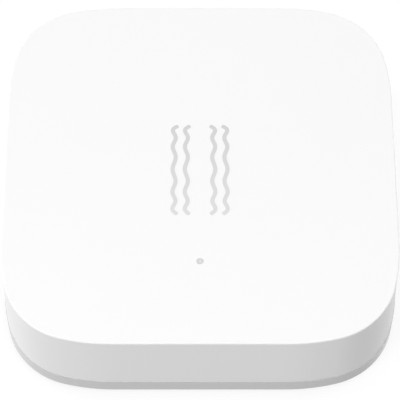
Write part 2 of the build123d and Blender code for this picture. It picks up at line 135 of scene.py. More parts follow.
def calculate(nodeSet, linkSet, operation, first, second=None):
    # the second value is a number or another node's output
    step = nodeSet.new("ShaderNodeMath")
    step.operation = operation
    linkSet.new(first, step.inputs[0])
    if isinstance(second, float):
        step.inputs[1].default_value = second
    elif second is not None:
        linkSet.new(second, step.inputs[1])
    return step.outputs[0]


def lengthOf(nodeSet, linkSet, vector):
    away = nodeSet.new("ShaderNodeVectorMath")
    away.operation = "LENGTH"
    linkSet.new(vector, away.inputs[0])
    return away.outputs["Value"]


def bumpFrom(nodeSet, linkSet, field, strength, depth, below=None):
    bump = nodeSet.new("ShaderNodeBump")
    bump.inputs["Strength"].default_value = strength
    bump.inputs["Distance"].default_value = depth
    linkSet.new(field, bump.inputs["Height"])
    if below is not None:
        linkSet.new(below, bump.inputs["Normal"])
    return bump.outputs["Normal"]


def shade(colour, factor):
    return tuple(channel * factor for channel in colour)


mouldedFinish = {
    "driftDetail": 2.0,
    "driftStops": (0.3, 0.7),           # in the drift's noise: darkest, and full colour
    "grainDetail": 4.0,
    "grainRoughness": 0.6,
    "unevenGloss": 0.05,                # of roughness, either way
    "refraction": 1.46,
}


def mouldedPlastic(name, look):
    # fine spark texture, a slow drift in tone and a little uneven gloss
    material, nodeSet, linkSet = startMaterial(name)
    shader = nodeSet["Principled BSDF"]
    place = objectSpace(nodeSet, linkSet)
    drift = noiseField(nodeSet, linkSet, place, look["driftSize"], mouldedFinish["driftDetail"])
    grain = noiseField(
        nodeSet, linkSet, place, look["grainSize"],
        mouldedFinish["grainDetail"], mouldedFinish["grainRoughness"],
    )
    darkest, full = mouldedFinish["driftStops"]
    colour = colourRamp(nodeSet, linkSet, drift, [
        (darkest, shade(look["colour"], 1 - look["drift"])),
        (full, look["colour"]),
    ])
    linkSet.new(colour, shader.inputs["Base Color"])
    smoothest = look["roughness"] - mouldedFinish["unevenGloss"]
    roughest = look["roughness"] + mouldedFinish["unevenGloss"]
    linkSet.new(spread(nodeSet, linkSet, grain, smoothest, roughest), shader.inputs["Roughness"])
    normal = bumpFrom(nodeSet, linkSet, grain, look["grain"], look["grainDepth"])
    linkSet.new(normal, shader.inputs["Normal"])
    shader.inputs["IOR"].default_value = mouldedFinish["refraction"]
    return material


metalFinish = {
    "mottleStops": (0.35, 0.65),        # in the mottle's noise: darkest, and full colour
    "darkPatch": 0.86,                  # of the full colour
    "scratchDetail": 5.0,
    "scratchRoughness": 0.7,
    "smoother": 0.08,                   # less roughness between the scratches
    "rougher": 0.12,                    # more roughness in them
    "scratch": 0.25,
    "scratchDepth": 0.004 * mm,
}


def metal(name, look):
    # rolled strip: long fine scratches along one way, and a mottled plate
    material, nodeSet, linkSet = startMaterial(name)
    shader = nodeSet["Principled BSDF"]
    stretched = objectSpace(nodeSet, linkSet, look.get("stretch", (1, 1, 1)))
    scratches = noiseField(
        nodeSet, linkSet, stretched, look["grainSize"],
        metalFinish["scratchDetail"], metalFinish["scratchRoughness"],
    )
    mottle = noiseField(nodeSet, linkSet, objectSpace(nodeSet, linkSet), look["mottleSize"])
    darkest, full = metalFinish["mottleStops"]
    colour = colourRamp(nodeSet, linkSet, mottle, [
        (darkest, shade(look["colour"], metalFinish["darkPatch"])),
        (full, look["colour"]),
    ])
    linkSet.new(colour, shader.inputs["Base Color"])
    smoothest = look["roughness"] - metalFinish["smoother"]
    roughest = look["roughness"] + metalFinish["rougher"]
    linkSet.new(spread(nodeSet, linkSet, scratches, smoothest, roughest), shader.inputs["Roughness"])
    normal = bumpFrom(nodeSet, linkSet, scratches, metalFinish["scratch"], metalFinish["scratchDepth"])
    linkSet.new(normal, shader.inputs["Normal"])
    shader.inputs["Metallic"].default_value = 1.0
    return material


shellLook = {
    "colour": (0.90, 0.90, 0.90),
    "drift": 0.006,
    "driftSize": 18 * mm,
    "grainSize": 0.16 * mm,
    "grain": 0.06,
    "grainDepth": 0.006 * mm,
    "roughness": 0.36,
}
baseLook = {
    # greyer than the shell: partly the base's own tone, partly painted shade for the band's darker
    # look
    "colour": (0.665, 0.665, 0.668),
    "drift": 0.01,
    "driftSize": 14 * mm,
    "grainSize": 0.2 * mm,
    "grain": 0.12,
    "grainDepth": 0.008 * mm,
    "roughness": 0.22,
}
buttonLook = {
    "colour": (0.86, 0.86, 0.865),
    "drift": 0.01,
    "driftSize": 5 * mm,
    "grainSize": 0.12 * mm,
    "grain": 0.05,
    "grainDepth": 0.004 * mm,
    "roughness": 0.36,
}
blackLook = {
    "colour": (0.022, 0.022, 0.024),
    "drift": 0.25,
    "driftSize": 1.2 * mm,
    "grainSize": 0.15 * mm,
    "grain": 0.25,
    "grainDepth": 0.01 * mm,
    "roughness": 0.55,
}
stemLook = {
    "colour": (0.045, 0.045, 0.05),
    "drift": 0.15,
    "driftSize": 1.0 * mm,
    "grainSize": 0.1 * mm,
    "grain": 0.1,
    "grainDepth": 0.005 * mm,
    "roughness": 0.38,
}
resinLook = {
    "colour": (0.018, 0.018, 0.02),
    "drift": 0.3,
    "driftSize": 0.8 * mm,
    "grainSize": 0.08 * mm,
    "grain": 0.35,
    "grainDepth": 0.01 * mm,
    "roughness": 0.62,
}
sealLook = {
    "colour": (0.05, 0.05, 0.055),
    "drift": 0.1,
    "driftSize": 2 * mm,
    "grainSize": 0.1 * mm,
    "grain": 0.1,
    "grainDepth": 0.005 * mm,
    "roughness": 0.5,
}
pelletLook = {
    "colour": (0.03, 0.03, 0.032),
    "drift": 0.35,
    "driftSize": 1.5 * mm,
    "grainSize": 0.2 * mm,
    "grain": 0.5,
    "grainDepth": 0.03 * mm,
    "roughness": 0.85,
}
ledLook = {
    "colour": (0.78, 0.76, 0.66),
    "drift": 0.06,
    "driftSize": 0.6 * mm,
    "grainSize": 0.1 * mm,
    "grain": 0.05,
    "grainDepth": 0.004 * mm,
    "roughness": 0.25,
}
ceramicLook = {
    "colour": (0.42, 0.29, 0.17),
    "drift": 0.18,
    "driftSize": 0.5 * mm,
    "grainSize": 0.06 * mm,
    "grain": 0.2,
    "grainDepth": 0.006 * mm,
    "roughness": 0.45,
}
resistorLook = {
    "colour": (0.02, 0.02, 0.024),
    "drift": 0.2,
    "driftSize": 0.4 * mm,
    "grainSize": 0.05 * mm,
    "grain": 0.15,
    "grainDepth": 0.004 * mm,
    "roughness": 0.3,
}
legendLook = {
    "colour": (0.80, 0.80, 0.78),
    "drift": 0.08,
    "driftSize": 0.4 * mm,
    "grainSize": 0.06 * mm,
    "grain": 0.1,
    "grainDepth": 0.003 * mm,
    "roughness": 0.6,
}
markLook = {
    "colour": (0.10, 0.10, 0.105),
    "drift": 0.2,
    "driftSize": 0.2 * mm,
    "grainSize": 0.05 * mm,
    "grain": 0.1,
    "grainDepth": 0.003 * mm,
    "roughness": 0.35,
}
cellMarkLook = {
    "colour": (0.50, 0.50, 0.49),
    "roughness": 0.4,
    "grainSize": 0.1 * mm,
    "mottleSize": 2 * mm,
}
plasticLooks = {
    "white_shell": shellLook,
    "base_plastic": baseLook,
    "button_plastic": buttonLook,
    "black_plastic": blackLook,
    "stem_plastic": stemLook,
    "chip_resin": resinLook,
    "cell_seal": sealLook,
    "cell_pellet": pelletLook,
    "led_body": ledLook,
    "capacitor_ceramic": ceramicLook,
    "resistor_ceramic": resistorLook,
}
metalLooks = {
    "spring_steel": {
        "colour": (0.62, 0.60, 0.57),
        "roughness": 0.3,
        "grainSize": 0.12 * mm,
        "mottleSize": 1.5 * mm,
        "stretch": (1, 0.05, 1),        # scratches along Y
    },
    "cell_steel": {
        "colour": (0.66, 0.66, 0.65),
        "roughness": 0.26,
        "grainSize": 0.1 * mm,
        "mottleSize": 5 * mm,
        "stretch": (0.04, 1, 1),        # scratches along X
    },
    "tinned_metal": {
        "colour": (0.60, 0.60, 0.59),
        "roughness": 0.35,
        "grainSize": 0.15 * mm,
        "mottleSize": 0.6 * mm,
    },
    "can_metal": {
        "colour": (0.58, 0.57, 0.54),
        "roughness": 0.3,
        "grainSize": 0.1 * mm,
        "mottleSize": 1 * mm,
        "stretch": (1, 0.1, 1),
    },
    "gold_plate": {
        "colour": (0.80, 0.58, 0.24),
        "roughness": 0.28,
        "grainSize": 0.1 * mm,
        "mottleSize": 0.8 * mm,
    },
}


lightPipe = {
    "core": (0.90, 0.90, 0.90),         # painted highlight in the middle of the tip
    # ring: painted shade, where the hole's wall shades the tip
    "ring": (0.74, 0.745, 0.75),
    # edge: painted light at the rim, against the shadow of the hole's wall
    "edge": (0.88, 0.88, 0.88),
    "coreRadius": 0.05 * mm,
    "ringRadius": 0.19 * mm,
    "edgeRadius": 0.33 * mm,
    "hazeSize": 0.3 * mm,
    "roughness": (0.12, 0.24),
    "refraction": 1.49,
    "clearness": 0.15,
}


def clearPlastic():
    # frosted clear pin, with light and shade painted into its colour: a painted highlight along its
    # axis, a ring of painted shade round that, and painted light at the rim against the hole wall's
    # shadow
    material, nodeSet, linkSet = startMaterial("clear_plastic")
    shader = nodeSet["Principled BSDF"]
    middle = middleOf("light_pipe")
    place = objectSpace(nodeSet, linkSet, move=(-middle.x, -middle.y, 0))
    flat = nodeSet.new("ShaderNodeVectorMath")
    flat.operation = "MULTIPLY"
    flat.inputs[1].default_value = (1, 1, 0)
    linkSet.new(place, flat.inputs[0])
    fromAxis = lengthOf(nodeSet, linkSet, flat.outputs["Vector"])
    core, ring, edge = lightPipe["coreRadius"], lightPipe["ringRadius"], lightPipe["edgeRadius"]
    outwards = spread(nodeSet, linkSet, fromAxis, 0.0, 1.0, core, edge)
    # out from the axis: painted highlight, a ring of painted shade, then painted light at the rim
    colour = colourRamp(nodeSet, linkSet, outwards, [
        (0.0, lightPipe["core"]),
        ((ring - core) / (edge - core), lightPipe["ring"]),
        (1.0, lightPipe["edge"]),
    ])
    linkSet.new(colour, shader.inputs["Base Color"])
    haze = noiseField(nodeSet, linkSet, objectSpace(nodeSet, linkSet), lightPipe["hazeSize"])
    linkSet.new(spread(nodeSet, linkSet, haze, *lightPipe["roughness"]), shader.inputs["Roughness"])
    shader.inputs["IOR"].default_value = lightPipe["refraction"]
    shader.inputs["Transmission Weight"].default_value = lightPipe["clearness"]
    return material


foamLook = {
    "dark": (0.565, 0.565, 0.548),
    "light": (0.60, 0.60, 0.585),
    "patchSize": 6 * mm,
    "patchStops": (0.3, 0.7),           # in the patches' noise: dark, and light
    "roughness": (0.45, 0.7),
    "cellSize": 0.35 * mm,
    "cell": 0.4,
    "cellDepth": 0.04 * mm,
}


def foamTape():
    # closed cells about a third of a millimetre across, under an adhesive skin
    material, nodeSet, linkSet = startMaterial("foam_tape")
    shader = nodeSet["Principled BSDF"]
    place = objectSpace(nodeSet, linkSet)
    cells = nodeSet.new("ShaderNodeTexVoronoi")
    cells.inputs["Scale"].default_value = 1 / foamLook["cellSize"]
    linkSet.new(place, cells.inputs["Vector"])
    patches = noiseField(nodeSet, linkSet, place, foamLook["patchSize"])
    dark, light = foamLook["patchStops"]
    colour = colourRamp(nodeSet, linkSet, patches, [
        (dark, foamLook["dark"]),
        (light, foamLook["light"]),
    ])
    linkSet.new(colour, shader.inputs["Base Color"])
    linkSet.new(spread(nodeSet, linkSet, patches, *foamLook["roughness"]), shader.inputs["Roughness"])
    hollows = cells.outputs["Distance"]
    normal = bumpFrom(nodeSet, linkSet, hollows, foamLook["cell"], foamLook["cellDepth"])
    linkSet.new(normal, shader.inputs["Normal"])
    return material


boardLook = {
    "mask": (0.007, 0.074, 0.033),      # over the bare board
    "trace": (0.015, 0.128, 0.058),     # over copper tracks
    "pour": (0.011, 0.100, 0.045),      # over copper areas
    "edge": (0.24, 0.25, 0.11),         # bare glass fibre at the cut edge
    "pitch": 0.75 * mm,
    "width": 0.17 * mm,
    "softness": 0.1,                    # of a track's edge
    "laneLength": 1.0,                  # far longer than the board, so that no track ends on it
    "bundle": 6.5 * mm,                 # size of the patches that share a direction
    "alongAbove": 0.5,                  # a patch's first random value over this: tracks along Y
    "pourAbove": 0.66,                  # its second over this: a copper area
    "flatAbove": 0.5,                   # a normal's Z over this: a face, not the cut edge
    "roughness": (0.22, 0.36),
    "weaveSize": 0.4 * mm,
    "weave": 0.08,
    "weaveDepth": 0.01 * mm,
    "copper": 0.4,
    "copperDepth": 0.02 * mm,
}


def trackLanes(nodeSet, linkSet, turn):
    # 1 on parallel tracks, 0 between them
    lanes = nodeSet.new("ShaderNodeTexBrick")
    lanes.offset = 0
    lanes.inputs["Scale"].default_value = 1.0
    lanes.inputs["Brick Width"].default_value = boardLook["laneLength"]
    lanes.inputs["Row Height"].default_value = boardLook["pitch"]
    lanes.inputs["Mortar Size"].default_value = boardLook["width"] / 2
    lanes.inputs["Mortar Smooth"].default_value = boardLook["softness"]
    shift = (boardLook["laneLength"] / 2, boardLook["pitch"] / 2, 0)
    place = objectSpace(nodeSet, linkSet, turn=(0, 0, turn), move=shift)
    linkSet.new(place, lanes.inputs["Vector"])
    return lanes.outputs["Fac"]


def blend(nodeSet, linkSet, kind, factor, first, second):
    mix = nodeSet.new("ShaderNodeMix")
    mix.data_type = kind
    # the Mix node's sockets for this kind of value
    inputs, output = {"FLOAT": ((2, 3), 0), "RGBA": ((6, 7), 2)}[kind]
    linkSet.new(factor, mix.inputs[0])
    for value, index in zip((first, second), inputs):
        if isinstance(value, tuple):
            mix.inputs[index].default_value = (*value, 1)
        else:
            linkSet.new(value, mix.inputs[index])
    return mix.outputs[output]


def boardLaminate():
    # solder mask over copper: bundles of tracks along and across, and plain copper areas
    material, nodeSet, linkSet = startMaterial("board_laminate")
    shader = nodeSet["Principled BSDF"]
    place = objectSpace(nodeSet, linkSet)
    patches = nodeSet.new("ShaderNodeTexVoronoi")
    patches.distance = "CHEBYCHEV"
    patches.inputs["Scale"].default_value = 1 / boardLook["bundle"]
    linkSet.new(place, patches.inputs["Vector"])
    pick = nodeSet.new("ShaderNodeSeparateColor")
    linkSet.new(patches.outputs["Color"], pick.inputs[0])
    across = trackLanes(nodeSet, linkSet, 0)
    along = trackLanes(nodeSet, linkSet, math.radians(90))
    runsAlong = calculate(nodeSet, linkSet, "GREATER_THAN", pick.outputs[0], boardLook["alongAbove"])
    tracks = blend(nodeSet, linkSet, "FLOAT", runsAlong, across, along)
    tracked = blend(nodeSet, linkSet, "RGBA", tracks, boardLook["mask"], boardLook["trace"])
    poured = calculate(nodeSet, linkSet, "GREATER_THAN", pick.outputs[1], boardLook["pourAbove"])
    masked = blend(nodeSet, linkSet, "RGBA", poured, tracked, boardLook["pour"])
    facing = nodeSet.new("ShaderNodeSeparateXYZ")
    linkSet.new(nodeSet.new("ShaderNodeTexCoord").outputs["Normal"], facing.inputs[0])
    upright = calculate(nodeSet, linkSet, "ABSOLUTE", facing.outputs["Z"])
    flat = calculate(nodeSet, linkSet, "GREATER_THAN", upright, boardLook["flatAbove"])
    colour = blend(nodeSet, linkSet, "RGBA", flat, boardLook["edge"], masked)
    linkSet.new(colour, shader.inputs["Base Color"])
    weave = noiseField(nodeSet, linkSet, place, boardLook["weaveSize"])
    linkSet.new(spread(nodeSet, linkSet, weave, *boardLook["roughness"]), shader.inputs["Roughness"])
    fibres = bumpFrom(nodeSet, linkSet, weave, boardLook["weave"], boardLook["weaveDepth"])
    copper = calculate(nodeSet, linkSet, "MAXIMUM", tracks, poured)
    normal = bumpFrom(nodeSet, linkSet, copper, boardLook["copper"], boardLook["copperDepth"], fibres)
    linkSet.new(normal, shader.inputs["Normal"])
    return material


inkLook = {
    # painted shade: the grey is lighter at the front and darker at the back
    "front": (0.685, 0.685, 0.69),
    "back": (0.61, 0.61, 0.615),
    "reach": 6 * mm,                    # from the middle to where each is reached
    "roughness": (0.4, 0.5),
    "speckSize": 0.12 * mm,
    "speckDetail": 2.0,
}


def printInk():
    # grey ink with painted shade: darker towards the back, where the top face is lit less
    material, nodeSet, linkSet = startMaterial("print_ink")
    shader = nodeSet["Principled BSDF"]
    place = objectSpace(nodeSet, linkSet)
    along = nodeSet.new("ShaderNodeSeparateXYZ")
    linkSet.new(place, along.inputs["Vector"])
    reach = inkLook["reach"]
    # painted shade, running from the lighter front to the darker back
    fade = spread(nodeSet, linkSet, along.outputs["Y"], 0.0, 1.0, -reach, reach)
    colour = colourRamp(nodeSet, linkSet, fade, [(0.0, inkLook["front"]), (1.0, inkLook["back"])])
    linkSet.new(colour, shader.inputs["Base Color"])
    speck = noiseField(nodeSet, linkSet, place, inkLook["speckSize"], inkLook["speckDetail"])
    linkSet.new(spread(nodeSet, linkSet, speck, *inkLook["roughness"]), shader.inputs["Roughness"])
    return material


finishes = {name: mouldedPlastic(name, look) for name, look in plasticLooks.items()}
finishes.update({name: metal(name, look) for name, look in metalLooks.items()})
finishes["clear_plastic"] = clearPlastic()
finishes["foam_tape"] = foamTape()
finishes["board_laminate"] = boardLaminate()
finishes["print_ink"] = printInk()
finishes["legend_ink"] = mouldedPlastic("legend_ink", legendLook)
finishes["mark_ink"] = mouldedPlastic("mark_ink", markLook)
finishes["cell_mark"] = metal("cell_mark", cellMarkLook)

for entry in frame["record"]["subparts"]:
    piece = nodes[entry["node"]]
    piece.data.materials.clear()
    piece.data.materials.append(finishes[entry["material_slot"]])
print("finishes on", len(nodes), "nodes")


# Pictogram: four wavy lines printed on the top face

waves = {
    "places": (2.82 * mm, 1.49 * mm),   # middle of each line from the centre, both sides
    "swing": 0.165 * mm,
    "halfWaves": 4,                     # on each side of the middle
    "middle": -0.115 * mm,
    "reach": 4.965 * mm,                # from the middle to the outermost bend
    "tighten": 0.19,                    # how much shorter the waves get towards the ends
    # past the outermost bend, at the front end and the back end
    "hookRise": (0.68 * mm, 0.56 * mm),
    "hookLean": (0.55 * mm, 0.60 * mm),
    "stroke": 0.45 * mm,
    "thickness": 0.02 * mm,
    "steps": 96,
    "endRound": 0.499,                  # of the stroke: under half, so that no corner meets another
    "endSegments": 8,
}


def wavePoint(y, place):
    # a line on the left: its bends start at the outer side in the middle
    t = (y - waves["middle"]) / waves["reach"]
    if abs(t) > 1:
        end = 1 if t > 0 else 0
        past = (abs(t) - 1) * waves["reach"] / waves["hookRise"][end]
        return -place - waves["swing"] + waves["hookLean"][end] * past ** 2
    turns = waves["halfWaves"] * ((1 - waves["tighten"]) * t + waves["tighten"] * t ** 3)
    return -place - waves["swing"] * math.cos(math.pi * turns)


def waveLine(name, place, side):
    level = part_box("top_shell")[1].z
    front = waves["middle"] - waves["reach"] - waves["hookRise"][0]
    back = waves["middle"] + waves["reach"] + waves["hookRise"][1]
    path = []
    for index in range(waves["steps"] + 1):
        y = front + (back - front) * index / waves["steps"]
        path.append(Vector((side * wavePoint(y, place), y, level)))
    bpy.ops.curve.primitive_nurbs_path_add()
    route = bpy.context.object
    route.data.splines.clear()
    spline = route.data.splines.new("POLY")
    spline.points.add(len(path) - 1)
    for point, where in zip(spline.points, path):
        point.co = (*where, 1)
    length = sum((b - a).length for a, b in zip(path, path[1:]))
    deselectAll()
    bpy.ops.mesh.primitive_plane_add(size=1, location=(0, 0, 0))
    strip = bpy.context.object
    bpy.ops.object.mode_set(mode="EDIT")
    bpy.ops.transform.resize(value=(length, waves["stroke"], 1))
    bpy.ops.transform.translate(value=(length / 2, 0, 0))
    bpy.ops.mesh.bevel(
        affect="VERTICES", offset=waves["stroke"] * waves["endRound"], offset_type="WIDTH",
        segments=waves["endSegments"],
    )
    bpy.ops.mesh.select_all(action="DESELECT")
    bpy.ops.object.mode_set(mode="OBJECT")
    for edge in strip.data.edges:
        a, b = (strip.data.vertices[i].co for i in edge.vertices)
        edge.select = abs(a.x - b.x) > length / 2
    bpy.ops.object.mode_set(mode="EDIT")
    bpy.ops.mesh.select_mode(type="EDGE")
    bpy.ops.mesh.subdivide(number_cuts=2 * waves["steps"])
    bpy.ops.object.mode_set(mode="OBJECT")
    bend = strip.modifiers.new("bend", "CURVE")
    bend.object = route
    bend.deform_axis = "POS_X"
    bpy.ops.object.modifier_apply(modifier="bend")
    thicken(strip, waves["thickness"])
    bpy.data.objects.remove(route)
    return finishPiece(strip, name, finishes["print_ink"], "housing")


# Small pieces on the board and the cell

splitting = {
    "sameCorner": 0.002 * mm,           # corners closer than this are one
    "orderDigits": 5,                   # of a metre, for the order of the solids
}


def solidBoxes(nodeName):
    # corner boxes of the separate solids in a node, found by shared corners
    mesh = nodes[nodeName].data
    spot = [tuple(round(c / splitting["sameCorner"]) for c in vertex.co) for vertex in mesh.vertices]
    parent = {}

    def root(key):
        while parent.setdefault(key, key) != key:
            key = parent[key]
        return key

    for polygon in mesh.polygons:
        first = spot[polygon.vertices[0]]
        for index in polygon.vertices[1:]:
            a, b = root(first), root(spot[index])
            if a != b:
                parent[b] = a
    groups = {}
    for vertex, key in zip(mesh.vertices, spot):
        groups.setdefault(root(key), []).append(vertex.co)
    boxes = []
    for corners in groups.values():
        low = Vector([min(c[axis] for c in corners) for axis in range(3)])
        high = Vector([max(c[axis] for c in corners) for axis in range(3)])
        boxes.append((low, high))
    digits = splitting["orderDigits"]
    return sorted(boxes, key=lambda box: (round(box[0].x, digits), round(box[0].y, digits)))


def cubeFrom(low, high, bevel=0.0, segments=2):
    deselectAll()
    middle = (low + high) / 2
    bpy.ops.mesh.primitive_cube_add(size=1, location=middle, scale=high - low)
    cube = bpy.context.object
    bpy.ops.object.transform_apply(location=True, rotation=True, scale=True)
    if bevel:
        bpy.ops.object.mode_set(mode="EDIT")
        bpy.ops.mesh.bevel(offset=bevel, segments=segments, affect="EDGES")
        bpy.ops.object.mode_set(mode="OBJECT")
    return cube


def joinPieces(pieces, name, material, body):
    deselectAll()
    for piece in pieces:
        piece.select_set(True)
    bpy.context.view_layer.objects.active = pieces[0]
    if len(pieces) > 1:
        bpy.ops.object.join()
    return finishPiece(pieces[0], name, material, body)


tinnedEnds = {
    "share": 0.2,                       # of the part's length, at each end
    "coat": 0.015 * mm,
    "bevel": 0.03 * mm,
}


def addTinnedEnds(nodeName, name):
    caps = []
    for low, high in solidBoxes(nodeName):
        reach = (high.x - low.x) * tinnedEnds["share"]
        coat = tinnedEnds["coat"]
        for start, end in ((low.x - coat, low.x + reach), (high.x - reach, high.x + coat)):
            lower = Vector((start, low.y - coat, low.z))
            upper = Vector((end, high.y + coat, high.z + coat))
            caps.append(cubeFrom(lower, upper, tinnedEnds["bevel"]))
    return joinPieces(caps, name, finishes["tinned_metal"], "housing")


solder = {
    "reach": 0.3 * mm,                  # past the foot, all round
    "height": 0.22 * mm,
    "segments": 20,
    "rings": 10,
    "shares": (-0.25, 0.25),            # a contact's two feet: from its middle, in its own width
    "negativeInset": 1.2 * mm,          # from the contact's edge to the middle of a foot
    "negativeFoot": (0.9 * mm, 0.5 * mm),
    "positiveInset": 0.5 * mm,
    "positiveFoot": (0.5 * mm, 0.7 * mm),
    "switchInset": 0.2 * mm,
    "switchFoot": (0.3 * mm, 1.6 * mm),
}


def solderBead(x, y, foot):
    # half a flattened ball that hangs under the board
    place = Vector((x, y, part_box("circuit_board")[0].z))
    deselectAll()
    bpy.ops.mesh.primitive_uv_sphere_add(
        segments=solder["segments"], ring_count=solder["rings"], radius=0.5, location=place,
    )
    bead = bpy.context.object
    width, length = foot
    bead.scale = (width + 2 * solder["reach"], length + 2 * solder["reach"], 2 * solder["height"])
    bpy.ops.object.transform_apply(location=True, rotation=True, scale=True)
    bpy.ops.object.mode_set(mode="EDIT")
    bpy.ops.mesh.select_all(action="SELECT")
    bpy.ops.mesh.bisect(plane_co=place, plane_no=(0, 0, 1), use_fill=True, clear_outer=True)
    bpy.ops.object.mode_set(mode="OBJECT")
    bead.data.shade_smooth()
    return bead


def addSolder():
    beads = []
    low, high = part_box("negative_contact")
    middle = middleOf("negative_contact")
    for share in solder["shares"]:
        y = middle.y + share * (high.y - low.y)
        beads.append(solderBead(low.x + solder["negativeInset"], y, solder["negativeFoot"]))
    low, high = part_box("positive_contact")
    middle = middleOf("positive_contact")
    for share in solder["shares"]:
        x = middle.x + share * (high.x - low.x)
        beads.append(solderBead(x, high.y - solder["positiveInset"], solder["positiveFoot"]))
    low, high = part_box("switch_cover")
    middle = middleOf("switch_cover")
    for x in (low.x + solder["switchInset"], high.x - solder["switchInset"]):
        beads.append(solderBead(x, middle.y, solder["switchFoot"]))
    return joinPieces(beads, "solder_beads", finishes["tinned_metal"], "housing")


boardPrint = {
    "line": 0.12 * mm,
    "gap": 0.28 * mm,                   # from the part to its outline
    "thickness": 0.012 * mm,
    "parts": ("radio_chip", "motion_chip", "crystal"),
    "dotRadius": 0.16 * mm,
    "dotAway": 0.35 * mm,               # from the outline to the dot's middle
    "dotVertices": 20,
}


def printFrame(low, high, level):
    # a thin rectangle round a part
    deselectAll()
    middle = (low + high) / 2
    width = high.x - low.x + 2 * (boardPrint["gap"] + boardPrint["line"])
    length = high.y - low.y + 2 * (boardPrint["gap"] + boardPrint["line"])
    bpy.ops.mesh.primitive_plane_add(size=1, location=(middle.x, middle.y, level))
    outlinePiece = bpy.context.object
    outlinePiece.scale = (width, length, 1)
    bpy.ops.object.transform_apply(location=True, rotation=True, scale=True)
    bpy.ops.object.mode_set(mode="EDIT")
    bpy.ops.mesh.select_all(action="SELECT")
    bpy.ops.mesh.inset(thickness=boardPrint["line"])
    bpy.ops.mesh.delete(type="FACE")
    bpy.ops.object.mode_set(mode="OBJECT")
    thicken(outlinePiece, boardPrint["thickness"])
    return outlinePiece


softRim = 0.25                          # of a round mark's depth


def roundMark(place, radius, depth, vertices):
    # a low disc with a softened rim
    deselectAll()
    bpy.ops.mesh.primitive_cylinder_add(vertices=vertices, radius=radius, depth=depth, location=place)
    mark = bpy.context.object
    bpy.ops.object.mode_set(mode="EDIT")
    bpy.ops.mesh.bevel(offset=depth * softRim, segments=1)
    bpy.ops.object.mode_set(mode="OBJECT")
    return mark


def addBoardPrint():
    # an outline round each of these parts, and a dot beside its first pin
    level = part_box("circuit_board")[1].z
    thickness = boardPrint["thickness"]
    marks = []
    for partName in boardPrint["parts"]:
        low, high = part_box(partName)
        marks.append(printFrame(low, high, level))
        corner = boardPrint["gap"] + boardPrint["line"] + boardPrint["dotAway"]
        place = (low.x - corner, high.y, level + thickness / 2)
        marks.append(roundMark(place, boardPrint["dotRadius"], thickness, boardPrint["dotVertices"]))
    return joinPieces(marks, "board_print", finishes["legend_ink"], "housing")


chipMarks = {
    "chips": ("radio_chip", "motion_chip", "memory_chip"),
    "radius": 0.22 * mm,
    "depth": 0.02 * mm,
    "inset": 0.6 * mm,
    "vertices": 24,
}


def addChipMarks():
    # shallow round mark beside the first pin of each chip
    marks = []
    for chipName in chipMarks["chips"]:
        low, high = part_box(chipName)
        place = (low.x + chipMarks["inset"], high.y - chipMarks["inset"], high.z)
        marks.append(roundMark(place, chipMarks["radius"], chipMarks["depth"], chipMarks["vertices"]))
    return joinPieces(marks, "chip_marks", finishes["mark_ink"], "housing")


vias = {
    "radius": 0.28 * mm,
    "hole": 0.14 * mm,
    "thickness": 0.015 * mm,
    "vertices": 18,
    # places from the board's middle, in its half width
    "shares": (
        (0.14, -0.36), (0.22, -0.36), (0.52, 0.10), (0.54, 0.22), (-0.12, 0.12), (-0.14, 0.30),
        (-0.56, -0.16), (-0.60, 0.34), (-0.02, -0.20), (0.10, 0.44), (0.74, 0.30), (0.50, -0.34),
        (-0.30, -0.40), (-0.44, -0.52), (0.30, -0.56), (-0.74, -0.20), (-0.76, 0.20), (0.06, 0.80),
    ),
}


def viaRing(x, y, level):
    deselectAll()
    bpy.ops.mesh.primitive_circle_add(
        vertices=vias["vertices"], radius=vias["radius"], fill_type="NGON", location=(x, y, level),
    )
    ring = bpy.context.object
    bpy.ops.object.mode_set(mode="EDIT")
    bpy.ops.mesh.select_all(action="SELECT")
    bpy.ops.mesh.inset(thickness=vias["radius"] - vias["hole"])
    bpy.ops.mesh.delete(type="FACE")
    bpy.ops.object.mode_set(mode="OBJECT")
    thicken(ring, vias["thickness"])
    return ring


def addVias():
    low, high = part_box("circuit_board")
    middle = middleOf("circuit_board")
    half = (high.x - low.x) / 2
    rings = []
    for shareX, shareY in vias["shares"]:
        rings.append(viaRing(middle.x + shareX * half, middle.y + shareY * half, high.z))
    return joinPieces(rings, "board_vias", finishes["gold_plate"], "housing")


cellMark = {
    "arm": 3.4 * mm,
    "width": 0.5 * mm,
    "depth": 0.02 * mm,
    "away": 0.55,                       # from the cell's middle, in its radius
}


def addCellMark():
    # plus sign stamped on the can's flat face: one bar across, and two arms that meet it
    low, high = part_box("cell_can")
    middle = middleOf("cell_can")
    spot = Vector((middle.x, middle.y + cellMark["away"] * (high.y - middle.y), low.z))
    half, thin, depth = cellMark["arm"] / 2, cellMark["width"] / 2, cellMark["depth"]
    outlines = (
        (-half, -thin, half, thin),
        (-thin, thin, thin, half),
        (-thin, -half, thin, -thin),
    )
    bars = []
    for left, front, right, back in outlines:
        lower = spot + Vector((left, front, -depth))
        upper = spot + Vector((right, back, depth))
        bars.append(cubeFrom(lower, upper))
    return joinPieces(bars, "cell_plus", finishes["cell_mark"], "housing")


# Camera, light and floor

cameraPlace = {
    "back": 119.17 * mm,
    "height": 210.375 * mm,
    "tilt": 59.96,                      # degrees below level
    "focalPixels": 2134.1,
    "framePixels": 400,
    "sensor": 36.0,
    "clip": (0.01, 10),                 # nearest and farthest that is seen
}


def addCamera():
    data = bpy.data.cameras.new("camera")
    camera = bpy.data.objects.new("camera", data)
    bpy.context.scene.collection.objects.link(camera)
    camera.location = (0, -cameraPlace["back"], cameraPlace["height"])
    camera.rotation_euler = (math.radians(90 - cameraPlace["tilt"]), 0, 0)
    data.sensor_width = cameraPlace["sensor"]
    data.lens = cameraPlace["sensor"] * cameraPlace["focalPixels"] / cameraPlace["framePixels"]
    data.clip_start, data.clip_end = cameraPlace["clip"]
    bpy.context.scene.camera = camera


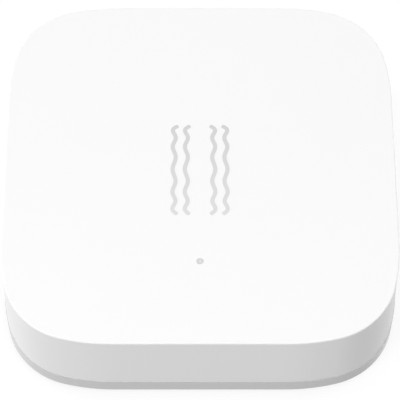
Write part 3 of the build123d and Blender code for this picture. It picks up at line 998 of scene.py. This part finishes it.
lampTarget = (0, 0, 5 * mm)
lamps = {
    # name: place, width, height, watts
    "topSoftbox": ((0.0, 0.0, 0.45), 0.40, 0.40, 1.044),
    "keySoftbox": ((-0.30, -0.30, 0.16), 0.20, 0.20, 0.845),
    "frontRightFill": ((0.30, -0.30, 0.16), 0.20, 0.20, 0.165),
    "leftRim": ((-0.40, 0.20, 0.14), 0.16, 0.26, 0.60),
    "rightRim": ((0.40, 0.20, 0.14), 0.16, 0.26, 0.562),
    "backSoftbox": ((0.0, 0.42, 0.20), 0.36, 0.20, 0.085),
}


def addLamps():
    for name, (place, width, height, watts) in lamps.items():
        data = bpy.data.lights.new(name, "AREA")
        data.shape = "RECTANGLE"
        data.size = width
        data.size_y = height
        data.energy = watts
        lamp = bpy.data.objects.new(name, data)
        bpy.context.scene.collection.objects.link(lamp)
        lamp.location = place
        aim = Vector(lampTarget) - Vector(place)
        lamp.rotation_euler = aim.to_track_quat("-Z", "Y").to_euler()


def seenDirectly(nodeSet, linkSet):
    # 1 for camera, mirror and glass rays
    rays = nodeSet.new("ShaderNodeLightPath")
    total = rays.outputs["Is Camera Ray"]
    for other in ("Is Glossy Ray", "Is Transmission Ray"):
        total = calculate(nodeSet, linkSet, "MAXIMUM", total, rays.outputs[other])
    return total


worldLook = {
    "ambient": 0.3,                     # what lights the tag
    "backdrop": 1.0,                    # what the camera and mirrors see
}
floorLook = {
    "size": 3.0,
    "drop": 0.02 * mm,                  # below the adhesive pad
    "paint": 0.20,
    "lift": 0.82,                       # glow near the tag, where the lamps light it too
    "farLift": 1.0,
    "fade": (0.10, 0.50),               # from the near glow to the far one
}


def addWorld():
    world = bpy.data.worlds.new("studio")
    bpy.context.scene.world = world
    world.use_nodes = True
    nodeSet, linkSet = world.node_tree.nodes, world.node_tree.links
    ambient = nodeSet["Background"]
    ambient.inputs["Color"].default_value = (1, 1, 1, 1)
    ambient.inputs["Strength"].default_value = worldLook["ambient"]
    backdrop = nodeSet.new("ShaderNodeBackground")
    backdrop.inputs["Color"].default_value = (1, 1, 1, 1)
    backdrop.inputs["Strength"].default_value = worldLook["backdrop"]
    mix = nodeSet.new("ShaderNodeMixShader")
    linkSet.new(seenDirectly(nodeSet, linkSet), mix.inputs["Fac"])
    linkSet.new(ambient.outputs[0], mix.inputs[1])
    linkSet.new(backdrop.outputs[0], mix.inputs[2])
    linkSet.new(mix.outputs[0], nodeSet["World Output"].inputs["Surface"])


def addFloor():
    bpy.ops.mesh.primitive_plane_add(size=floorLook["size"], location=(0, 0, -floorLook["drop"]))
    floor = bpy.context.object
    floor.name = "floor"
    material, nodeSet, linkSet = startMaterial("floor")
    nodeSet.remove(nodeSet["Principled BSDF"])
    paint = nodeSet.new("ShaderNodeBsdfDiffuse")
    paint.inputs["Color"].default_value = (floorLook["paint"],) * 3 + (1,)
    lift = nodeSet.new("ShaderNodeEmission")
    away = lengthOf(nodeSet, linkSet, objectSpace(nodeSet, linkSet))
    glow = spread(nodeSet, linkSet, away, floorLook["lift"], floorLook["farLift"], *floorLook["fade"])
    strength = calculate(nodeSet, linkSet, "MULTIPLY", seenDirectly(nodeSet, linkSet), glow)
    linkSet.new(strength, lift.inputs["Strength"])
    both = nodeSet.new("ShaderNodeAddShader")
    linkSet.new(paint.outputs[0], both.inputs[0])
    linkSet.new(lift.outputs[0], both.inputs[1])
    # one-sided, so that the underside can be looked at
    side = nodeSet.new("ShaderNodeNewGeometry")
    clear = nodeSet.new("ShaderNodeBsdfTransparent")
    oneSided = nodeSet.new("ShaderNodeMixShader")
    linkSet.new(side.outputs["Backfacing"], oneSided.inputs["Fac"])
    linkSet.new(both.outputs[0], oneSided.inputs[1])
    linkSet.new(clear.outputs[0], oneSided.inputs[2])
    linkSet.new(oneSided.outputs[0], nodeSet["Material Output"].inputs["Surface"])
    floor.data.materials.append(material)
    floor.visible_diffuse = False       # light from all round reaches the underside


addCamera()
addLamps()
addWorld()
addFloor()
bpy.context.scene.view_settings.view_transform = "Standard"
print("camera, lamps, floor")

for place, label in zip(waves["places"], ("outer", "inner")):
    for side, hand in ((1, "left"), (-1, "right")):
        waveLine(f"wave_{hand}_{label}", place, side)
print("pictogram")

addTinnedEnds("capacitors", "capacitor_ends")
addTinnedEnds("resistors", "resistor_ends")
addSolder()
addBoardPrint()
addChipMarks()
addVias()
addCellMark()
print("board and cell details")
